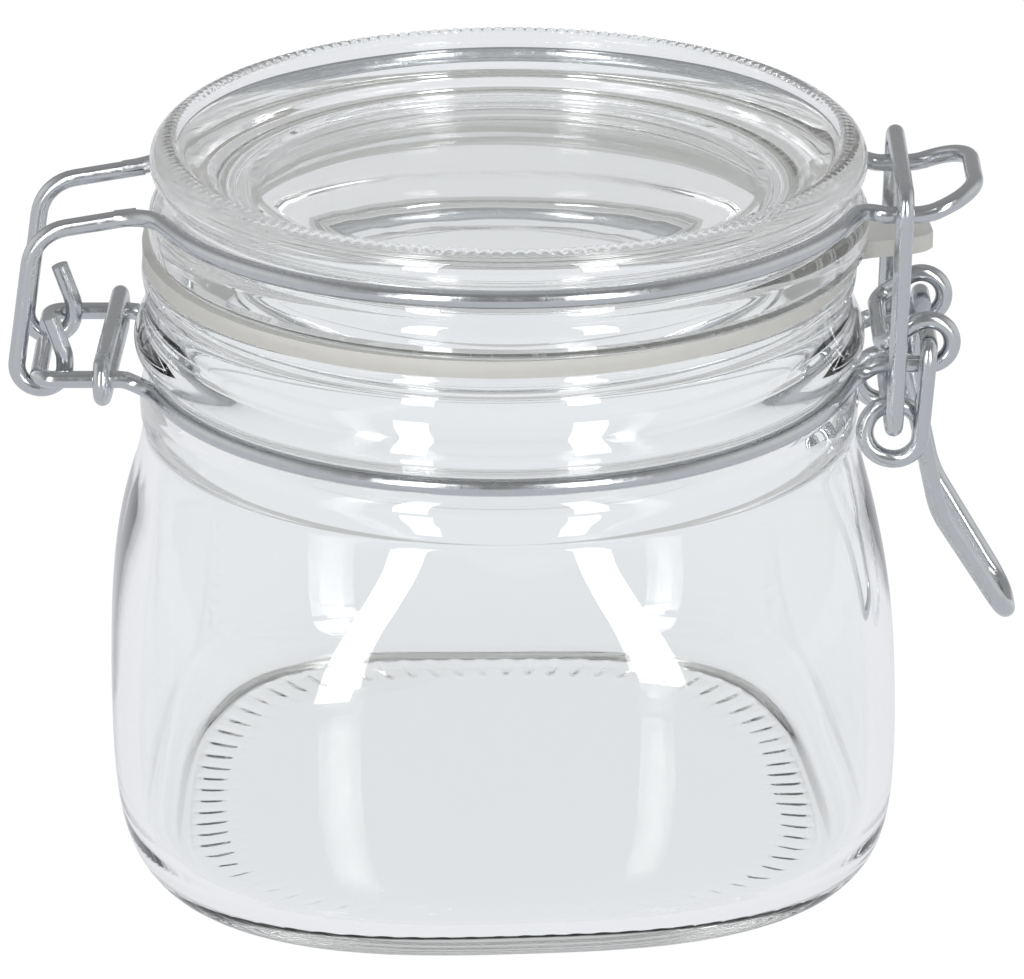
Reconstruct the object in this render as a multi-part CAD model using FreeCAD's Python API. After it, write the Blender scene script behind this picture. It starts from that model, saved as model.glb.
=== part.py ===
import FreeCAD, Part
import math
import os

V = FreeCAD.Vector

# Clip-top preserving jar, millimetres, +Z up, origin under the middle of the base.
# The hinge is on -X, the latch on +X.

# wires
bandWire = 2.3
latchWire = 2.4
wireFit = 0.04           # gap between a wire and what it lies on

# glass jar
bodyHalf = 52.8          # half width across the flats, at the widest level
bodyWidestZ = 18.0
footDraw = 5.95          # how far the foot is drawn in from the body
shoulderZ = 57.5         # the squarish body has turned round here
squareness = 2.9         # exponent of the rounded-square plan, 2 is a circle
bodyTurn = 4.0           # degrees the square body is turned under the round neck
wall = 3.2
floorThick = 3.0
neckR = 47.1             # outer radius at the lip
neckRise = 23.2          # from the shoulder to the lip's top
footHalf = bodyHalf - footDraw
shoulderR = neckR + 0.5
neckTopZ = shoulderZ + neckRise
neckBoreR = neckR - 4.5
mouthR = neckBoreR - 1.0
beadR = neckR + 1.6
neckLipR = neckR + 1.0

# neck band, in the groove between the neck's lip and bead
neckBandR = neckR + 0.5
neckBandZ = shoulderZ + 8.45
strandY = 12.9           # strands to the hinge, either side of the middle
strandZ = neckBandZ + 1.35
hingeX = -neckR - 13.7
longStub = 13.2
shortStub = 5.2
eyeY = 9.0
eyeX = neckR + 9.6
eyeZ = neckBandZ + 5.15
eyeBend = 3.15
latchStrandZ = eyeZ - eyeBend
crossBarX = neckR + 3.5
crossBarZ = eyeZ - 0.5

# gasket
gasketThick = 2.3
gasketR = neckR + 0.25
gasketInR = neckR - 4.7
tabReach = neckR + 10.5
tabAngle = 4.0
tabRootHalf = 10.0
tabEndHalf = 4.6

# lid
lidShift = 1.25          # the latch draws the lid a little towards itself
lidR = neckR + 0.7
lidRimR = neckR + 0.4
lidThick = 14.2
lidSeatZ = neckTopZ + gasketThick
lidTopZ = lidSeatZ + lidThick
hingeSag = 1.8           # the lid band dips towards its hinge side
latchSag = 0.7
lidBandR = neckR - 0.1
lidBandZ = lidSeatZ + 8.2
flangeTopZ = lidBandZ - hingeSag - bandWire / 2 - 0.25
waistTopZ = lidBandZ + bandWire / 2 + 0.55
waistR = lidBandR - bandWire / 2 - wireFit
rimFlatR = neckR - 2.4
rimInR = rimFlatR - 3.2
rimInZ = lidTopZ - 2.1
dishR = rimInR - 4.5
dishZ = lidTopZ - 6.2
discR = dishR - 3.6
discRise = 0.55
spigotR = mouthR - 2.0
spigotInR = spigotR - 4.0
spigotDrop = 3.4
lidUnderZ = dishZ - 4.4

# lid band, in the lid's waist
armY = 9.9
armInZ = lidBandZ - 2.2
armCornerX = hingeX - 0.3
armCornerZ = lidBandZ - 4.5
hookBend = 3.2
hookTipX = hingeX + 1.6
hookTipZ = strandZ + 7.7
noseY = 10.4
noseZ = lidBandZ - 1.8
noseFlatX = neckR + 8.7
noseTipX = noseFlatX + 6.8
noseTipZ = noseZ + 2.7

# lever, hinged in the neck band's eyes
armGap = 0.08
leverY = eyeY + bandWire / 2 + latchWire / 2 + armGap
leverPinIn = 3.0         # how far the turned-in ends pass the eye
coilX = eyeX - 4.55
coilZ = eyeZ - 12.25
coilBend = 3.66
coilStep = latchWire + 0.25
handleKinkX = max(bodyHalf, neckR + 5.7) + 5.8
handleKinkZ = coilZ - 12.25
handleTipX = handleKinkX + 10.0
handleTipZ = handleKinkZ - 16.4
handleTipHalf = 5.6

# bail, hinged in the lever's coils and hooked over the lid band's nose
bailY = leverY + latchWire + armGap
bailPinX = coilX
bailPinZ = coilZ + coilBend - latchWire - wireFit
bailTopX = neckR + 5.9
latchSlack = 1.35        # room over the nose that lets the latch swing past its dead centre
bailTopZ = noseZ + bandWire / 2 + latchWire / 2 + latchSlack
bailBend = 2.6

# collar round the two strands on the hinge side
collarX = -neckR - 4.7
collarLean = 2.0


def unit(v):
    return V(v).normalize()


def roundedPath(points, bends, closed=False):
    """Straight runs joined by tangent arcs; bends holds one radius per corner."""
    pts = [V(*p) for p in points]
    n = len(pts)
    if closed:
        start = (pts[0] + pts[1]) * 0.5
        order = list(range(1, n)) + [0]
        nodes = [start] + [pts[i] for i in order] + [start]
        radii = [0] + [bends[i] for i in order] + [0]
    else:
        nodes = pts
        radii = [0] + list(bends) + [0]
    edges = []
    last = nodes[0]
    for i in range(1, len(nodes) - 1):
        back = unit(nodes[i - 1] - nodes[i])
        ahead = unit(nodes[i + 1] - nodes[i])
        turn = math.pi - math.acos(max(-1.0, min(1.0, back.dot(ahead))))
        reach = radii[i] * math.tan(turn / 2)
        a = nodes[i] + back * reach
        b = nodes[i] + ahead * reach
        middle = unit(back + ahead)
        apex = nodes[i] + middle * (radii[i] / math.cos(turn / 2) - radii[i])
        if (a - last).Length > 1e-4:
            edges.append(Part.LineSegment(last, a).toShape())
        edges.append(Part.Arc(a, apex, b).toShape())
        last = b
    if (nodes[-1] - last).Length > 1e-4:
        edges.append(Part.LineSegment(last, nodes[-1]).toShape())
    return Part.Wire(edges)


def wireRod(path, diameter):
    """Round wire of one diameter along a path."""
    edge = path.Edges[0]
    start = edge.valueAt(edge.FirstParameter)
    along = edge.tangentAt(edge.FirstParameter)
    ring = Part.Wire([Part.Circle(start, along, diameter / 2).toShape()])
    return path.makePipeShell([ring], True, False)


def mirrored(points):
    return [(x, -y, z) for x, y, z in reversed(points)]


def squareWire(half, power, z, count=36):
    """Closed rounded-square outline that becomes a circle where power is 2."""
    pts = []
    for i in range(count):
        t = 2 * math.pi * i / count
        c = abs(math.cos(t)) ** power
        s = abs(math.sin(t)) ** power
        r = half / (c + s) ** (1 / power)
        pts.append(V(r * math.cos(t), r * math.sin(t), z))
    curve = Part.BSplineCurve()
    curve.interpolate(Points=pts, PeriodicFlag=True)
    return Part.Wire([curve.toShape()])


def profileSolid(rz, x=0.0):
    """Solid of revolution about the vertical axis at x; rz entries are (r, z) corners."""
    pts = [V(x + r, 0, z) for r, z in rz]
    edges = [Part.LineSegment(a, b).toShape() for a, b in zip(pts, pts[1:] + pts[:1])]
    face = Part.Face(Part.Wire(edges))
    return face.revolve(V(x, 0, 0), V(0, 0, 1), 360)


def smoothProfile(rz, samples=6, tension=0.5):
    """Rounds a chain of (r, z) corners into short curved runs."""
    out = [rz[0]]
    for i in range(1, len(rz) - 1):
        p, c, n = rz[i - 1], rz[i], rz[i + 1]
        a = (c[0] + (p[0] - c[0]) * tension, c[1] + (p[1] - c[1]) * tension)
        b = (c[0] + (n[0] - c[0]) * tension, c[1] + (n[1] - c[1]) * tension)
        for k in range(samples):
            t = k / (samples - 1)
            u = 1 - t
            out.append((u * u * a[0] + 2 * u * t * c[0] + t * t * b[0],
                        u * u * a[1] + 2 * u * t * c[1] + t * t * b[1]))
    out.append(rz[-1])
    clean = [out[0]]
    for q in out[1:]:
        if math.dist(q, clean[-1]) > 1e-3:
            clean.append(q)
    return clean


def bodyLevels(inset):
    """(z, half width, plan exponent) of the squarish body, drawn in by inset."""
    rise = shoulderZ - bodyWidestZ
    levels = []
    footShare = [(0.0, 0.0), (0.035, 0.3), (0.12, 0.58), (0.28, 0.82), (0.55, 0.96), (1.0, 1.0)]
    for share, grow in footShare:
        half = footHalf + (bodyHalf - footHalf) * grow
        power = squareness - 0.15 * (1 - grow)
        levels.append((bodyWidestZ * share, half, power))
    upShare = [(0.22, 0.04, 0.02), (0.38, 0.115, 0.09), (0.51, 0.225, 0.2), (0.63, 0.385, 0.36),
               (0.735, 0.565, 0.56), (0.825, 0.745, 0.75), (0.91, 0.885, 0.91), (1.0, 1.0, 1.0)]
    for share, draw, roundness in upShare:
        half = bodyHalf - (bodyHalf - shoulderR) * draw
        power = squareness - (squareness - 2.0) * roundness
        levels.append((bodyWidestZ + rise * share, half, power))
    return [(z, half - inset, power) for z, half, power in levels]


def makeJar():
    outer = Part.makeLoft([squareWire(h, p, z) for z, h, p in bodyLevels(0)], True)
    grooveR = neckBandR - bandWire / 2 - wireFit
    top = neckTopZ
    neck = [(0, shoulderZ - 1.5), (shoulderR - 1.6, shoulderZ - 1.5)]
    neck += smoothProfile([(shoulderR - 1.6, shoulderZ - 1.5), (neckLipR, shoulderZ + 1.3),
                           (neckLipR, neckBandZ - bandWire / 2 - 1.85),
                           (grooveR, neckBandZ - bandWire / 2 - 0.35),
                           (grooveR, neckBandZ + bandWire / 2 + 0.35),
                           (beadR, neckBandZ + bandWire / 2 + 1.25),
                           (beadR, neckBandZ + 5.0), (neckR, neckBandZ + 7.6),
                           (neckR, top - 3.2), (neckR + 0.4, top - 2.4),
                           (neckR + 0.4, top - 0.5), (neckR - 0.8, top)])[1:]
    neck += [(0, top)]
    outer = outer.fuse(profileSolid(neck))
    floorZ = floorThick
    inner = []
    for z, half, power in bodyLevels(wall):
        if z > bodyWidestZ * 0.5 and z < shoulderZ - 1:
            inner.append((z, half, power))
    lowZ, lowHalf, lowPower = inner[0]
    corner = lowZ - floorZ
    foot = []
    for share, draw in [(0.0, 8.0), (0.06, 4.4), (0.22, 2.3), (0.52, 0.75)]:
        foot.append((floorZ + corner * share, lowHalf - draw, lowPower - 0.1 * (1 - share)))
    inner = foot + inner + [(shoulderZ + 1.5, neckBoreR + 0.4, 2.0), (shoulderZ + 4.5, neckBoreR - 1.0, 2.0)]
    cavity = Part.makeLoft([squareWire(h, p, z) for z, h, p in inner], True)
    bore = [(0, shoulderZ + 1.0), (neckBoreR - 1.2, shoulderZ + 1.0), (neckBoreR, shoulderZ + 4.0)]
    bore += smoothProfile([(neckBoreR, shoulderZ + 4.0), (neckBoreR, top - 4.0), (mouthR, top - 2.6),
                           (mouthR, top - 0.8), (mouthR + 0.7, top), (mouthR + 0.7, top + 1)])[1:]
    bore += [(0, top + 1)]
    cavity = cavity.fuse(profileSolid(bore))
    jar = outer.cut(cavity)
    jar.rotate(V(0, 0, 0), V(0, 0, 1), bodyTurn)
    return jar


def makeGasket():
    z0 = neckTopZ
    ring = profileSolid([(gasketInR, z0), (gasketR, z0), (gasketR, z0 + gasketThick),
                         (gasketInR, z0 + gasketThick)])
    rootX = math.sqrt(gasketR ** 2 - tabRootHalf ** 2) - 1.5
    flareX = rootX + 5.2
    blend = [(rootX, tabRootHalf), (flareX, tabEndHalf + 1.6), (tabReach - 1.6, tabEndHalf),
             (tabReach, tabEndHalf - 1.8)]
    side = [V(x, y, z0) for x, y in blend]
    curve = Part.BSplineCurve()
    curve.interpolate(side)
    flip = Part.BSplineCurve()
    flip.interpolate([V(p.x, -p.y, z0) for p in side])
    outline = Part.Wire([curve.toShape(),
                         Part.LineSegment(side[-1], V(side[-1].x, -side[-1].y, z0)).toShape(),
                         flip.toShape(),
                         Part.LineSegment(V(side[0].x, -side[0].y, z0), side[0]).toShape()])
    tab = Part.Face(outline).extrude(V(0, 0, gasketThick))
    tab.rotate(V(0, 0, 0), V(0, 0, 1), tabAngle)
    return ring.fuse(tab).removeSplitter()


def makeLid():
    lip = smoothProfile([(spigotR + 0.6, lidSeatZ), (lidR - 0.2, lidSeatZ), (lidR, lidSeatZ + 1.0),
                         (lidR, flangeTopZ - 1.1), (lidR - 0.9, flangeTopZ), (waistR, flangeTopZ + 0.3),
                         (waistR, waistTopZ - 0.4), (lidRimR - 0.3, waistTopZ),
                         (lidRimR, waistTopZ + 1.4), (lidRimR - 0.4, lidTopZ - 1.4),
                         (rimFlatR + 0.6, lidTopZ), (rimFlatR - 0.9, lidTopZ - 0.15),
                         (rimInR, rimInZ), (dishR + 0.4, dishZ + 0.1), (discR + 1.2, dishZ),
                         (discR, dishZ + discRise), (0, dishZ + discRise)])
    under = smoothProfile([(0, lidUnderZ), (spigotInR - 3.0, lidUnderZ), (spigotInR - 0.4, lidUnderZ - 1.0),
                           (spigotInR, lidSeatZ - spigotDrop + 0.9),
                           (spigotInR + 1.2, lidSeatZ - spigotDrop),
                           (spigotR - 0.9, lidSeatZ - spigotDrop),
                           (spigotR, lidSeatZ - spigotDrop + 0.9), (spigotR, lidSeatZ - 0.4),
                           (spigotR + 0.6, lidSeatZ)])
    lid = profileSolid(under[:-1] + lip, lidShift)
    return lid


def bandArc(radius, centreX, startDeg, endDeg, steps, level):
    """Corner points of tangent arcs that run round the front of a ring."""
    step = (endDeg - startDeg) / steps
    far = radius / math.cos(math.radians(step / 2))
    pts = []
    for i in range(steps):
        t = math.radians(startDeg + step * (i + 0.5))
        pts.append((centreX + far * math.cos(t), far * math.sin(t), level(math.cos(t))))
    return pts


def tangentAt(radius, centreX, deg, y):
    """X where the ring's tangent at an angle meets a run at y."""
    t = math.radians(deg)
    return centreX + (radius - y * math.sin(t)) / math.cos(t)


def makeNeckBand():
    startDeg, endDeg = 203.0, 343.0
    level = lambda c: neckBandZ
    stubIn = -strandY + longStub
    leftX = tangentAt(neckBandR, 0, startDeg, -strandY)
    rightX = tangentAt(neckBandR, 0, endDeg, -eyeY)
    arc = bandArc(neckBandR, 0, startDeg, endDeg, 5, level)
    arcBend = neckBandR * 0.985
    # the return run of each eye is tangent to the eye's bend
    dx, dz = eyeX - crossBarX, eyeZ - crossBarZ
    rise = math.atan2(dz, dx) + math.asin(eyeBend / math.hypot(dx, dz))
    eyeFarX = eyeX + eyeBend
    eyeCornerZ = crossBarZ + (eyeFarX - crossBarX) * math.tan(rise)
    front = [(hingeX, stubIn, strandZ), (hingeX, -strandY, strandZ),
             (leftX - 3.2, -strandY, strandZ), (leftX, -strandY, neckBandZ + 0.1)]
    bends = [2.0, 4.0, 5.0]
    front += arc
    bends += [arcBend] * len(arc)
    front += [(rightX, -eyeY, neckBandZ + 0.3), (rightX + 3.0, -eyeY, latchStrandZ),
              (eyeFarX, -eyeY, latchStrandZ), (eyeFarX, -eyeY, eyeCornerZ),
              (crossBarX, -eyeY, crossBarZ)]
    bends += [3.6, 3.5, eyeBend, eyeBend, 2.2]
    back = mirrored(front)
    back[-1] = (hingeX, strandY - shortStub, strandZ)
    return wireRod(roundedPath(front + back, bends + bends[::-1]), bandWire)


def makeLidBand():
    startDeg, endDeg = 204.0, 341.0

    def level(c):
        sag = hingeSag if c < 0 else latchSag
        return lidBandZ - sag * c * c

    leftX = tangentAt(lidBandR, lidShift, startDeg, -armY)
    rightX = tangentAt(lidBandR, lidShift, endDeg, -noseY)
    arc = bandArc(lidBandR, lidShift, startDeg, endDeg, 6, level)
    hookLow = strandZ - bandWire - wireFit
    hookFar = hingeX + hookBend + 0.2
    hookNear = hookFar - 2 * hookBend - 0.45
    front = [(hookTipX, -armY, hookTipZ), (hookFar, -armY, hookLow + hookBend + 1.5),
             (hookFar, -armY, hookLow), (hookNear, -armY, hookLow),
             (armCornerX, -armY, armCornerZ), (leftX - 2.0, -armY, armInZ),
             (leftX, -armY, armInZ + 0.25)]
    bends = [3.5, hookBend - 0.01, hookBend - 0.01, 6.0, 12.0, 7.0]
    front += arc
    bends += [lidBandR * 0.97] * len(arc)
    front += [(rightX, -noseY, noseZ + 0.75), (rightX + 3.2, -noseY, noseZ),
              (noseFlatX, -noseY, noseZ), (noseTipX, -noseY, noseTipZ)]
    bends += [3.6, 5.0, 9.0, 6.5]
    return wireRod(roundedPath(front + mirrored(front), bends + bends[::-1]), bandWire)


def makeLever():
    y0, y1 = -leverY, -leverY + coilStep
    pinIn = -(eyeY - bandWire / 2 - leverPinIn)
    down = math.atan2(coilZ - eyeZ, coilX - eyeX)
    gap = math.hypot(coilZ - eyeZ, coilX - eyeX)
    side = math.asin(coilBend / gap)
    handleDir = V(handleKinkX - coilX, 0, handleKinkZ - coilZ)
    handleGap = handleDir.Length
    handleAng = math.atan2(handleDir.z, handleDir.x) - math.asin(coilBend / handleGap)
    # the coil starts where the arm touches it and ends where the handle leaves it
    startAng = math.degrees(down + side) + 90
    endAng = math.degrees(handleAng) + 90 - 360
    steps = 7
    step = (endAng - startAng) / steps
    far = coilBend / math.cos(math.radians(step / 2))
    coil = []
    for i in range(steps):
        t = math.radians(startAng + step * (i + 0.5))
        y = y0 + (y1 - y0) * (i + 0.5) / steps
        coil.append((coilX + far * math.cos(t), y, coilZ + far * math.sin(t)))
    front = [(eyeX, pinIn, eyeZ), (eyeX, y0, eyeZ)] + coil
    bends = [1.9] + [coilBend * 0.97] * steps
    front += [(handleKinkX, y1 + 0.9, handleKinkZ),
              (handleTipX, -handleTipHalf, handleTipZ)]
    bends += [14.0, 4.4]
    return wireRod(roundedPath(front + mirrored(front), bends + bends[::-1]), latchWire)


def makeBail():
    loop = [(bailPinX, -bailY, bailPinZ), (bailTopX, -bailY, bailTopZ),
            (bailTopX, bailY, bailTopZ), (bailPinX, bailY, bailPinZ)]
    return wireRod(roundedPath(loop, [bailBend] * 4, closed=True), latchWire)


def makeCollar():
    half = bandWire + wireFit
    long = strandY + half
    loop = [(collarX, -long, strandZ - half), (collarX, -long, strandZ + half),
            (collarX, long, strandZ + half), (collarX, long, strandZ - half)]
    collar = wireRod(roundedPath(loop, [half - 0.02] * 4, closed=True), bandWire)
    collar.rotate(V(collarX, 0, strandZ), V(0, 0, 1), -collarLean)
    return collar


os.makedirs("parts", exist_ok=True)
pieces = {
    "jar_glass": makeJar(),
    "gasket": makeGasket(),
    "lid_glass": makeLid(),
    "neck_band": makeNeckBand(),
    "lid_band": makeLidBand(),
    "collar": makeCollar(),
    "lever": makeLever(),
    "bail": makeBail(),
}
for name, shape in pieces.items():
    solids = shape.Solids
    print(name, len(solids), round(sum(s.Volume for s in solids)), shape.isValid())
    solids[0].exportStep("parts/" + name + ".step")
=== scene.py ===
import bpy
import math
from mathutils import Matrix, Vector


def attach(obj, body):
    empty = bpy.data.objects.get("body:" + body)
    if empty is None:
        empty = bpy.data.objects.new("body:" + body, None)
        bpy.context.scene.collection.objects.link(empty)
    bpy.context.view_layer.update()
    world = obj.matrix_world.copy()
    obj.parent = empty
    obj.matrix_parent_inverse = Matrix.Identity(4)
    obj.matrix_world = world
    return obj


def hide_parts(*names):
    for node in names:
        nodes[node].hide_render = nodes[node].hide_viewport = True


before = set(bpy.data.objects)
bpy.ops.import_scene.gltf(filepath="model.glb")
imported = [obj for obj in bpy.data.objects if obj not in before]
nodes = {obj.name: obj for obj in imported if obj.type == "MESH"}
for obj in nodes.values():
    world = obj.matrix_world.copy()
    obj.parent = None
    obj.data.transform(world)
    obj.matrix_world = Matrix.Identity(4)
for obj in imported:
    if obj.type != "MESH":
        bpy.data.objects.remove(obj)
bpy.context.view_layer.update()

print("frame in:", sorted(nodes))


def mm(v):
    return v * 0.001


def roundCorners(points, samples=6, tension=0.5):
    # soft corners: each corner becomes a short quadratic run
    out = [points[0]]
    for i in range(1, len(points) - 1):
        p, c, n = points[i - 1], points[i], points[i + 1]
        a = [cc + (pp - cc) * tension for cc, pp in zip(c, p)]
        b = [cc + (nn - cc) * tension for cc, nn in zip(c, n)]
        for k in range(samples):
            t = k / (samples - 1)
            u = 1 - t
            out.append([u * u * x + 2 * u * t * y + t * t * z for x, y, z in zip(a, c, b)])
    out.append(points[-1])
    clean = [list(out[0])]
    for q in out[1:]:
        if math.dist(q, clean[-1]) > 1e-3:
            clean.append(list(q))
    return clean


def throughPoints(points, perSpan=4):
    # curve through every point, Catmull-Rom on any number of values
    out = []
    last = len(points) - 1
    for i in range(last):
        p0, p1, p2, p3 = points[max(i - 1, 0)], points[i], points[i + 1], points[min(i + 2, last)]
        for k in range(perSpan):
            t = k / perSpan
            out.append([0.5 * (2 * b + (c - a) * t + (2 * a - 5 * b + 4 * c - d) * t * t
                               + (3 * b - a - 3 * c + d) * t ** 3) for a, b, c, d in zip(p0, p1, p2, p3)])
    out.append(list(points[-1]))
    return out


def makeObject(name, verts, faces):
    mesh = bpy.data.meshes.new(name)
    mesh.from_pydata(verts, [], faces)
    mesh.validate()
    mesh.polygons.foreach_set("use_smooth", [True] * len(mesh.polygons))
    obj = bpy.data.objects.new(name, mesh)
    bpy.context.scene.collection.objects.link(obj)
    return obj


def ringMesh(name, rows, columns, place):
    # rows of one ring each; the first and the last row are single points on the axis
    verts, faces = [], []
    verts.append(place(rows[0], 0.0))
    for row in rows[1:-1]:
        for c in range(columns):
            verts.append(place(row, 2 * math.pi * c / columns))
    verts.append(place(rows[-1], 0.0))
    end = len(verts) - 1
    for c in range(columns):
        d = (c + 1) % columns
        faces.append((0, 1 + d, 1 + c))
        for r in range(len(rows) - 3):
            a = 1 + r * columns
            faces.append((a + c, a + d, a + columns + d, a + columns + c))
        a = 1 + (len(rows) - 3) * columns
        faces.append((a + c, a + d, end))
    return makeObject(name, verts, faces)


def newMaterial(name):
    mat = bpy.data.materials.new(name)
    mat.use_nodes = True
    tree = mat.node_tree
    tree.nodes.clear()
    return mat, tree


def addNode(tree, kind, **values):
    node = tree.nodes.new(kind)
    for key, value in values.items():
        if key in node.inputs:
            node.inputs[key].default_value = value
        else:
            setattr(node, key, value)
    return node


def makeSurfaceWear():
    # fine scratches and smudges: roughness and bump height for any smooth surface
    group = bpy.data.node_groups.new("surfaceWear", "ShaderNodeTree")
    face = group.interface
    for label, value in (("Scale", 60.0), ("Roughness Low", 0.02), ("Roughness High", 0.1), ("Stretch", 1.0)):
        sock = face.new_socket(name=label, in_out="INPUT", socket_type="NodeSocketFloat")
        sock.default_value = value
    face.new_socket(name="Roughness", in_out="OUTPUT", socket_type="NodeSocketFloat")
    face.new_socket(name="Height", in_out="OUTPUT", socket_type="NodeSocketFloat")
    start = group.nodes.new("NodeGroupInput")
    end = group.nodes.new("NodeGroupOutput")
    coord = group.nodes.new("ShaderNodeTexCoord")
    stretch = group.nodes.new("ShaderNodeCombineXYZ")
    stretch.inputs["X"].default_value = 1.0
    stretch.inputs["Y"].default_value = 1.0
    group.links.new(start.outputs["Stretch"], stretch.inputs["Z"])
    scaled = addNode(group, "ShaderNodeVectorMath", operation="MULTIPLY")
    group.links.new(coord.outputs["Object"], scaled.inputs[0])
    group.links.new(stretch.outputs[0], scaled.inputs[1])
    smudge = addNode(group, "ShaderNodeTexNoise", Detail=4.0, Roughness=0.6)
    group.links.new(scaled.outputs[0], smudge.inputs["Vector"])
    group.links.new(start.outputs["Scale"], smudge.inputs["Scale"])
    ramp = addNode(group, "ShaderNodeMapRange")
    ramp.inputs["From Min"].default_value = 0.42
    ramp.inputs["From Max"].default_value = 0.72
    group.links.new(smudge.outputs["Fac"], ramp.inputs["Value"])
    group.links.new(start.outputs["Roughness Low"], ramp.inputs["To Min"])
    group.links.new(start.outputs["Roughness High"], ramp.inputs["To Max"])
    group.links.new(ramp.outputs["Result"], end.inputs["Roughness"])
    group.links.new(smudge.outputs["Fac"], end.inputs["Height"])
    return group


surfaceWear = makeSurfaceWear()


def makeGlass(name, settings):
    mat, tree = newMaterial(name)
    wear = addNode(tree, "ShaderNodeGroup", node_tree=surfaceWear)
    wear.inputs["Scale"].default_value = settings["smudgeScale"]
    wear.inputs["Roughness Low"].default_value = settings["roughLow"]
    wear.inputs["Roughness High"].default_value = settings["roughHigh"]
    ripple = addNode(tree, "ShaderNodeTexNoise", Scale=settings["rippleScale"], Detail=1.0)
    coord = tree.nodes.new("ShaderNodeTexCoord")
    tree.links.new(coord.outputs["Object"], ripple.inputs["Vector"])
    bump = addNode(tree, "ShaderNodeBump", Strength=settings["rippleStrength"],
                   Distance=settings["rippleDepth"])
    tree.links.new(ripple.outputs["Fac"], bump.inputs["Height"])
    shader = addNode(tree, "ShaderNodeBsdfPrincipled")
    shader.inputs["Base Color"].default_value = settings["color"]
    shader.inputs["Transmission Weight"].default_value = 1.0
    shader.inputs["IOR"].default_value = settings["ior"]
    tree.links.new(wear.outputs["Roughness"], shader.inputs["Roughness"])
    tree.links.new(bump.outputs["Normal"], shader.inputs["Normal"])
    # light passes straight through for shadows, so what is inside and under stays lit
    clear = addNode(tree, "ShaderNodeBsdfTransparent", Color=settings["shadowColor"])
    path = tree.nodes.new("ShaderNodeLightPath")
    mix = tree.nodes.new("ShaderNodeMixShader")
    out = tree.nodes.new("ShaderNodeOutputMaterial")
    either = addNode(tree, "ShaderNodeMath", operation="MAXIMUM")
    tree.links.new(path.outputs["Is Shadow Ray"], either.inputs[0])
    tree.links.new(path.outputs["Is Diffuse Ray"], either.inputs[1])
    tree.links.new(either.outputs[0], mix.inputs[0])
    tree.links.new(shader.outputs[0], mix.inputs[1])
    tree.links.new(clear.outputs[0], mix.inputs[2])
    tree.links.new(mix.outputs[0], out.inputs["Surface"])
    return mat


glassLook = {
    "color": (0.975, 0.982, 0.980, 1.0),
    "ior": 1.5,
    "roughLow": 0.0,
    "roughHigh": 0.02,
    "smudgeScale": 55.0,
    "rippleScale": 30.0,
    "rippleStrength": 0.12,
    "rippleDepth": 0.0008,
    "shadowColor": (0.9, 0.91, 0.91, 1.0),
}
jarGlassMat = makeGlass("clearGlass", glassLook)


jarShape = {
    "columns": 576,
    "turn": 4.0,
    "footHalf": 46.85,
    "bodyHalf": 52.79,
    "widestZ": 18.0,
    "shoulderZ": 57.5,
    "shoulderR": 47.6,
    "square": 2.9,
    "wall": 3.2,
    "floor": 3.0,
    "ringOut": 43.4,
    "ringIn": 38.2,
    "ringLift": 0.26,
    "strokes": 76,
    "strokeDepth": 0.24,
}


def jarLevels(shape, inset):
    rise = shape["shoulderZ"] - shape["widestZ"]
    levels = []
    foot = [(0.0, 0.0), (0.035, 0.3), (0.12, 0.58), (0.28, 0.82), (0.55, 0.96), (1.0, 1.0)]
    for share, grow in foot:
        half = shape["footHalf"] + (shape["bodyHalf"] - shape["footHalf"]) * grow
        levels.append([half - inset, shape["widestZ"] * share, shape["square"] - 0.15 * (1 - grow)])
    up = [(0.22, 0.04, 0.02), (0.38, 0.115, 0.09), (0.51, 0.225, 0.2), (0.63, 0.385, 0.36),
          (0.735, 0.565, 0.56), (0.825, 0.745, 0.75), (0.91, 0.885, 0.91), (1.0, 1.0, 1.0)]
    for share, draw, roundness in up:
        half = shape["bodyHalf"] - (shape["bodyHalf"] - shape["shoulderR"]) * draw
        power = shape["square"] - (shape["square"] - 2.0) * roundness
        levels.append([half - inset, shape["widestZ"] + rise * share, power])
    return levels


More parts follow.
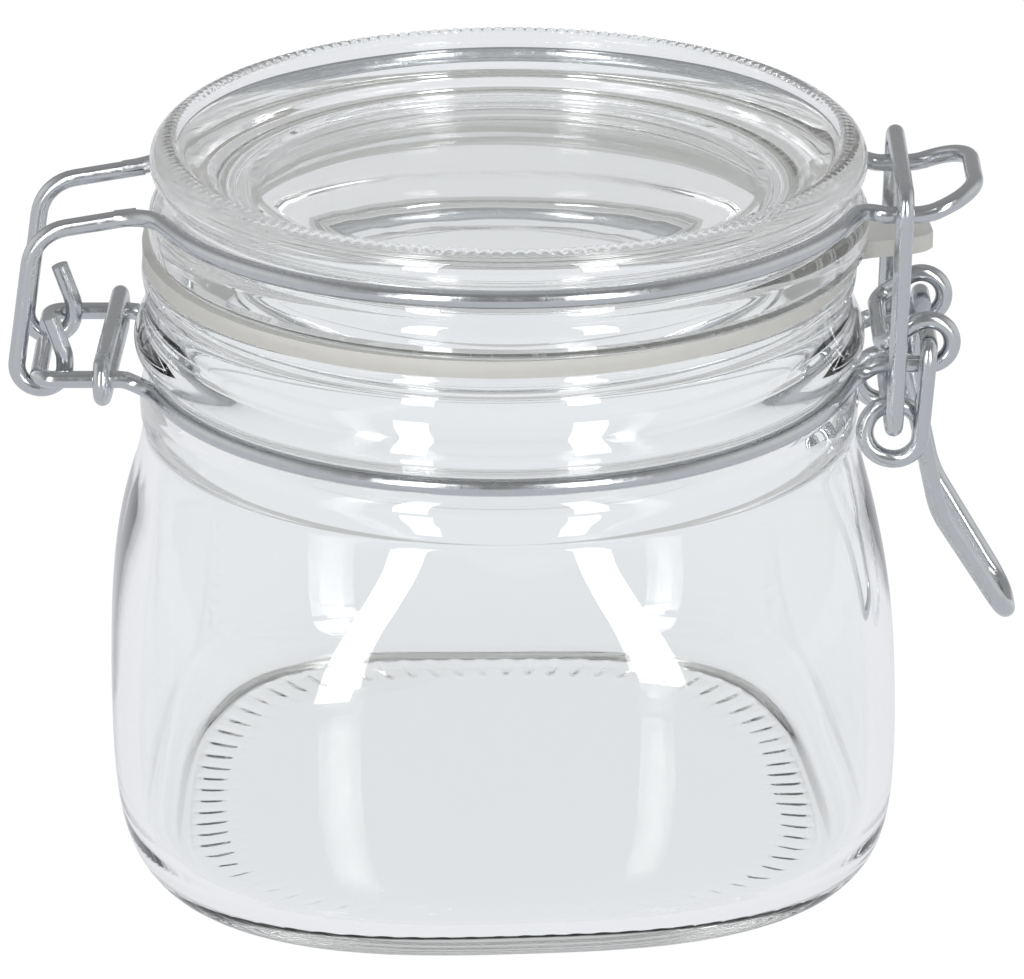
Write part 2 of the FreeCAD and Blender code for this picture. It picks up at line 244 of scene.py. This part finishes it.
def buildJar(shape):
    # each row: half width, height, roundness, stroke weight
    foot = shape["footHalf"]
    lift = shape["ringLift"]
    sq = shape["square"] - 0.15
    under = [[0, lift, 2.0, 0]]
    under += [[r, lift, 2.0 + (sq - 2.0) * r / 38, 0] for r in (8, 18, 28, 36)]
    for k in range(9):
        r = shape["ringIn"] + (shape["ringOut"] - shape["ringIn"]) * k / 8
        under.append([r, lift, sq, math.sin(math.pi * k / 8) ** 0.5])
    under += [[44.1, 0.2, sq, 0], [44.8, 0.11, sq, 0], [45.5, 0.04, sq, 0], [46.1, 0.0, sq, 0]]
    outer = [row + [0] for row in throughPoints(jarLevels(shape, 0), 3)]
    sz = shape["shoulderZ"]
    neckCorners = [(47.45, sz - 0.1), (48.1, sz + 1.3), (48.1, 62.95), (46.41, 64.45), (46.41, 67.45),
                   (48.7, 68.35), (48.7, 70.95), (47.1, 73.55), (47.1, 77.5), (47.5, 78.3),
                   (47.5, 80.2), (46.3, 80.7), (42.3, 80.7), (41.6, 79.9), (41.6, 78.1), (42.6, 76.7),
                   (42.6, 61.5), (42.9, sz + 1.5)]
    neck = [[r, z, 2.0, 0] for r, z in roundCorners(neckCorners, 5)]
    inner = [row for row in jarLevels(shape, shape["wall"]) if row[1] > shape["widestZ"] * 0.5]
    low = inner[0]
    corner = low[1] - shape["floor"]
    footIn = []
    for share, draw in ((0.0, 8.0), (0.06, 4.4), (0.22, 2.3), (0.52, 0.75)):
        footIn.append([low[0] - draw, shape["floor"] + corner * share, low[2] - 0.1 * (1 - share)])
    inside = throughPoints(footIn + inner, 3)
    inside.reverse()
    inside = [row + [0] for row in inside if row[1] < sz - 0.5]
    floor = [[r, shape["floor"], 2.0 + 0.7 * r / 40, 0] for r in (38, 32, 24, 14, 5)]
    floor.append([0, shape["floor"], 2.0, 0])
    rows = under + outer + neck[1:] + inside + floor
    turn = math.radians(shape["turn"])

    def place(row, angle):
        half, z, power, stroke = row
        c = abs(math.cos(angle)) ** power
        s = abs(math.sin(angle)) ** power
        r = half / (c + s) ** (1 / power)
        if stroke:
            drift = 0.45 * math.sin(5 * angle + 0.7) + 0.25 * math.sin(13 * angle)
            weight = 0.74 + 0.18 * math.sin(9 * angle + 2.0) + 0.08 * math.sin(31 * angle)
            wave = math.cos(angle * shape["strokes"] + drift)
            z -= shape["strokeDepth"] * stroke * weight * max(0.0, wave) ** 2.5
        return (mm(r * math.cos(angle + turn)), mm(r * math.sin(angle + turn)), mm(z))

    return ringMesh("jarGlass", rows, shape["columns"], place)


jarGlass = buildJar(jarShape)
jarGlass.data.materials.append(jarGlassMat)
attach(jarGlass, "jar")
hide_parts("jar_glass")
print("jar glass:", len(jarGlass.data.polygons), "faces")


lidShape = {
    "columns": 760,
    "shift": 1.25,
    "ticks": 190,
    "tickDepth": 0.22,
    "tickInner": 43.7,
    "tickOuter": 46.1,
    "tickFloorZ": 95.5,
}


def buildLid(shape):
    top = [(40.2, 83.0), (47.6, 83.0), (47.8, 84.0), (47.8, 86.9), (46.9, 88.0), (45.81, 88.3),
           (45.81, 92.5), (47.2, 92.9), (47.5, 94.3), (47.1, 95.8), (45.6, 97.05), (44.2, 97.15),
           (43.4, 96.2), (41.5, 95.1), (37.4, 91.1), (34.6, 91.0), (33.4, 91.55), (0, 91.55)]
    under = [(0, 86.6), (32.6, 86.6), (35.2, 85.6), (35.6, 80.5), (36.8, 79.6), (38.7, 79.6),
             (39.6, 80.5), (39.6, 82.6), (40.2, 83.0)]
    rows = roundCorners(under, 5)[:-1] + roundCorners(top, 6)
    rows = [list(row) for row in rows]

    def place(row, angle):
        r, z = row
        if shape["tickInner"] < r < shape["tickOuter"] and z > shape["tickFloorZ"]:
            across = (r - shape["tickInner"]) / (shape["tickOuter"] - shape["tickInner"])
            edge = math.sin(math.pi * across)
            wave = max(0.0, math.cos(angle * shape["ticks"]))
            z -= shape["tickDepth"] * edge * wave
        return (mm(shape["shift"] + r * math.cos(angle)), mm(r * math.sin(angle)), mm(z))

    return ringMesh("lidGlass", rows, shape["columns"], place)


lidGlass = buildLid(lidShape)
lidGlass.data.materials.append(jarGlassMat)
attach(lidGlass, "jar")
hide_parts("lid_glass")
print("lid glass:", len(lidGlass.data.polygons), "faces")


gasketLook = {
    "color": (0.61, 0.605, 0.585, 1.0),
    "dark": (0.54, 0.535, 0.515, 1.0),
    "roughLow": 0.35,
    "roughHigh": 0.55,
    "clear": 0.55,
    "ior": 1.41,
    "grainScale": 300.0,
    "bumpStrength": 0.3,
    "bumpDepth": 0.0002,
}


def makeRubber(settings):
    mat, tree = newMaterial("paleRubber")
    wear = addNode(tree, "ShaderNodeGroup", node_tree=surfaceWear)
    wear.inputs["Scale"].default_value = settings["grainScale"]
    wear.inputs["Roughness Low"].default_value = settings["roughLow"]
    wear.inputs["Roughness High"].default_value = settings["roughHigh"]
    tint = addNode(tree, "ShaderNodeMix", data_type="RGBA")
    tint.inputs["A"].default_value = settings["dark"]
    tint.inputs["B"].default_value = settings["color"]
    tree.links.new(wear.outputs["Height"], tint.inputs["Factor"])
    bump = addNode(tree, "ShaderNodeBump", Strength=settings["bumpStrength"],
                   Distance=settings["bumpDepth"])
    tree.links.new(wear.outputs["Height"], bump.inputs["Height"])
    shader = addNode(tree, "ShaderNodeBsdfPrincipled")
    shader.inputs["Transmission Weight"].default_value = settings["clear"]
    shader.inputs["IOR"].default_value = settings["ior"]
    tree.links.new(tint.outputs["Result"], shader.inputs["Base Color"])
    tree.links.new(wear.outputs["Roughness"], shader.inputs["Roughness"])
    tree.links.new(bump.outputs["Normal"], shader.inputs["Normal"])
    out = tree.nodes.new("ShaderNodeOutputMaterial")
    tree.links.new(shader.outputs[0], out.inputs["Surface"])
    return mat


rubberMat = makeRubber(gasketLook)


wireLook = {
    "color": (0.60, 0.615, 0.635, 1.0),
    "dull": (0.54, 0.555, 0.575, 1.0),
    "roughLow": 0.17,
    "roughHigh": 0.30,
    "grainScale": 700.0,
    "bumpStrength": 0.25,
    "bumpDepth": 0.0001,
}


def makeSteel(settings):
    mat, tree = newMaterial("drawnSteel")
    wear = addNode(tree, "ShaderNodeGroup", node_tree=surfaceWear)
    wear.inputs["Scale"].default_value = settings["grainScale"]
    wear.inputs["Roughness Low"].default_value = settings["roughLow"]
    wear.inputs["Roughness High"].default_value = settings["roughHigh"]
    tint = addNode(tree, "ShaderNodeMix", data_type="RGBA")
    tint.inputs["A"].default_value = settings["color"]
    tint.inputs["B"].default_value = settings["dull"]
    tree.links.new(wear.outputs["Height"], tint.inputs["Factor"])
    bump = addNode(tree, "ShaderNodeBump", Strength=settings["bumpStrength"],
                   Distance=settings["bumpDepth"])
    tree.links.new(wear.outputs["Height"], bump.inputs["Height"])
    shader = addNode(tree, "ShaderNodeBsdfPrincipled")
    shader.inputs["Metallic"].default_value = 1.0
    tree.links.new(tint.outputs["Result"], shader.inputs["Base Color"])
    tree.links.new(wear.outputs["Roughness"], shader.inputs["Roughness"])
    tree.links.new(bump.outputs["Normal"], shader.inputs["Normal"])
    out = tree.nodes.new("ShaderNodeOutputMaterial")
    tree.links.new(shader.outputs[0], out.inputs["Surface"])
    return mat


steelMat = makeSteel(wireLook)
carried = {"gasket": rubberMat, "neck_band": steelMat, "lid_band": steelMat,
           "collar": steelMat, "lever": steelMat, "bail": steelMat}
for name, mat in carried.items():
    data = nodes[name].data
    data.materials.clear()
    data.materials.append(mat)
print("materials on carried nodes:", len(carried))


studio = {
    "floorColor": (0.90, 0.90, 0.90, 1.0),
    "floorWhite": 0.86,
    "floorThroughGlass": (0.845, 0.855, 0.88, 1.0),
    "floorInMetal": (0.74, 0.75, 0.78, 1.0),
    "roomFill": 0.66,
    "roomThroughGlass": 0.55,
    "roomInMetalBack": 0.4,
    "roomInMetalFront": 0.28,
    "roomInMetalSide": 0.5,
    "frontFade": (0.35, -0.75),
    "sideFade": (0.55, 0.95),
    "floorZ": -0.0002,
}


def lightPathMix(tree, shaders):
    # shaders: (light path output, shader socket) pairs, the first matching one wins; the last is the rest
    path = tree.nodes.new("ShaderNodeLightPath")
    current = shaders[-1][1]
    for flag, socket in reversed(shaders[:-1]):
        mix = tree.nodes.new("ShaderNodeMixShader")
        tree.links.new(path.outputs[flag], mix.inputs[0])
        tree.links.new(current, mix.inputs[1])
        tree.links.new(socket, mix.inputs[2])
        current = mix.outputs[0]
    return current


def makeFloor():
    # a hair below the base, so glass and paper never share a plane
    z = studio["floorZ"]
    floor = makeObject("floor", [(-4, -3, z), (4, -3, z), (4, 6, z), (-4, 6, z)], [(0, 1, 2, 3)])
    mat, tree = newMaterial("floorPaper")
    grain = addNode(tree, "ShaderNodeTexNoise", Scale=900.0, Detail=3.0)
    bump = addNode(tree, "ShaderNodeBump", Strength=0.05, Distance=0.0002)
    tree.links.new(grain.outputs["Fac"], bump.inputs["Height"])
    paper = addNode(tree, "ShaderNodeBsdfDiffuse", Color=studio["floorColor"])
    tree.links.new(bump.outputs["Normal"], paper.inputs["Normal"])
    white = addNode(tree, "ShaderNodeEmission", Strength=1.0)
    seen = addNode(tree, "ShaderNodeMixShader")
    seen.inputs[0].default_value = studio["floorWhite"]
    tree.links.new(paper.outputs[0], seen.inputs[1])
    tree.links.new(white.outputs[0], seen.inputs[2])
    through = addNode(tree, "ShaderNodeEmission", Strength=1.0, Color=studio["floorThroughGlass"])
    mirrored = addNode(tree, "ShaderNodeEmission", Strength=1.0, Color=studio["floorInMetal"])
    out = tree.nodes.new("ShaderNodeOutputMaterial")
    final = lightPathMix(tree, [("Is Camera Ray", seen.outputs[0]),
                                ("Is Transmission Ray", through.outputs[0]),
                                ("Is Glossy Ray", mirrored.outputs[0]),
                                ("", paper.outputs[0])])
    tree.links.new(final, out.inputs["Surface"])
    floor.data.materials.append(mat)
    return floor


makeFloor()


def makeWorld():
    world = bpy.data.worlds.new("studio")
    world.use_nodes = True
    tree = world.node_tree
    tree.nodes.clear()
    coord = tree.nodes.new("ShaderNodeTexCoord")
    split = tree.nodes.new("ShaderNodeSeparateXYZ")
    tree.links.new(coord.outputs["Generated"], split.inputs[0])
    toFront = addNode(tree, "ShaderNodeMapRange", interpolation_type="SMOOTHSTEP")
    toFront.inputs["From Min"].default_value, toFront.inputs["From Max"].default_value = studio["frontFade"]
    toFront.inputs["To Min"].default_value = studio["roomInMetalBack"]
    toFront.inputs["To Max"].default_value = studio["roomInMetalFront"]
    tree.links.new(split.outputs["Y"], toFront.inputs["Value"])
    sideways = addNode(tree, "ShaderNodeMath", operation="ABSOLUTE")
    tree.links.new(split.outputs["X"], sideways.inputs[0])
    toSide = addNode(tree, "ShaderNodeMapRange", interpolation_type="SMOOTHSTEP")
    toSide.inputs["From Min"].default_value, toSide.inputs["From Max"].default_value = studio["sideFade"]
    toSide.inputs["To Min"].default_value = 0.0
    toSide.inputs["To Max"].default_value = studio["roomInMetalSide"]
    tree.links.new(sideways.outputs["Value"], toSide.inputs["Value"])
    both = addNode(tree, "ShaderNodeMath", operation="ADD")
    tree.links.new(toFront.outputs["Result"], both.inputs[0])
    tree.links.new(toSide.outputs["Result"], both.inputs[1])

    def background(strength):
        node = addNode(tree, "ShaderNodeBackground", Strength=strength)
        node.inputs["Color"].default_value = (1, 1, 1, 1)
        return node

    white = background(1.0)
    through = background(studio["roomThroughGlass"])
    inMetal = background(1.0)
    tree.links.new(both.outputs["Value"], inMetal.inputs["Strength"])
    fill = background(studio["roomFill"])
    out = tree.nodes.new("ShaderNodeOutputWorld")
    final = lightPathMix(tree, [("Is Camera Ray", white.outputs[0]),
                                ("Is Transmission Ray", through.outputs[0]),
                                ("Is Glossy Ray", inMetal.outputs[0]),
                                ("", fill.outputs[0])])
    tree.links.new(final, out.inputs["Surface"])
    bpy.context.scene.world = world


makeWorld()

lamps = [
    {"name": "leftBox", "at": (-0.95, -0.30, 0.70), "size": (0.5, 0.8), "power": 5.0, "shines": False},
    {"name": "rightBox", "at": (0.95, -0.30, 0.70), "size": (0.5, 0.8), "power": 4.5, "shines": False},
    {"name": "topBox", "at": (0.0, -0.4, 1.2), "size": (0.8, 0.5), "power": 4.0, "shines": False},
    {"name": "leftStrip", "at": (-0.40, -0.80, 0.52), "size": (0.17, 1.0), "power": 4.5, "shines": True},
    {"name": "rightStrip", "at": (0.42, -0.80, 0.52), "size": (0.17, 1.0), "power": 4.5, "shines": True},
]
for lamp in lamps:
    light = bpy.data.lights.new(lamp["name"], "AREA")
    light.shape = "RECTANGLE"
    light.size, light.size_y = lamp["size"]
    light.energy = lamp["power"]
    obj = bpy.data.objects.new(lamp["name"], light)
    obj.location = lamp["at"]
    obj.visible_glossy = lamp["shines"]
    obj.visible_transmission = lamp["shines"]
    aim = Vector((0, 0, 0.05)) - Vector(lamp["at"])
    if "Strip" in lamp["name"]:
        aim.z = 0.0
    obj.rotation_euler = aim.to_track_quat("-Z", "Y").to_euler()
    bpy.context.scene.collection.objects.link(obj)
print("lamps:", len(lamps))

cameraSettings = {"at": (0.00169, -0.8331, 0.3842), "tilt": 67.93, "lens": 234.5, "sensor": 36.0}
camData = bpy.data.cameras.new("camera")
camData.lens = cameraSettings["lens"]
camData.sensor_width = cameraSettings["sensor"]
camera = bpy.data.objects.new("camera", camData)
camera.location = cameraSettings["at"]
camera.rotation_euler = (math.radians(cameraSettings["tilt"]), 0, 0)
bpy.context.scene.collection.objects.link(camera)
bpy.context.scene.camera = camera
bpy.context.scene.view_settings.view_transform = "Standard"

# thick glass needs many bounces before a path may end
cycles = bpy.context.scene.cycles
cycles.max_bounces = 32
cycles.glossy_bounces = 16
cycles.transmission_bounces = 32
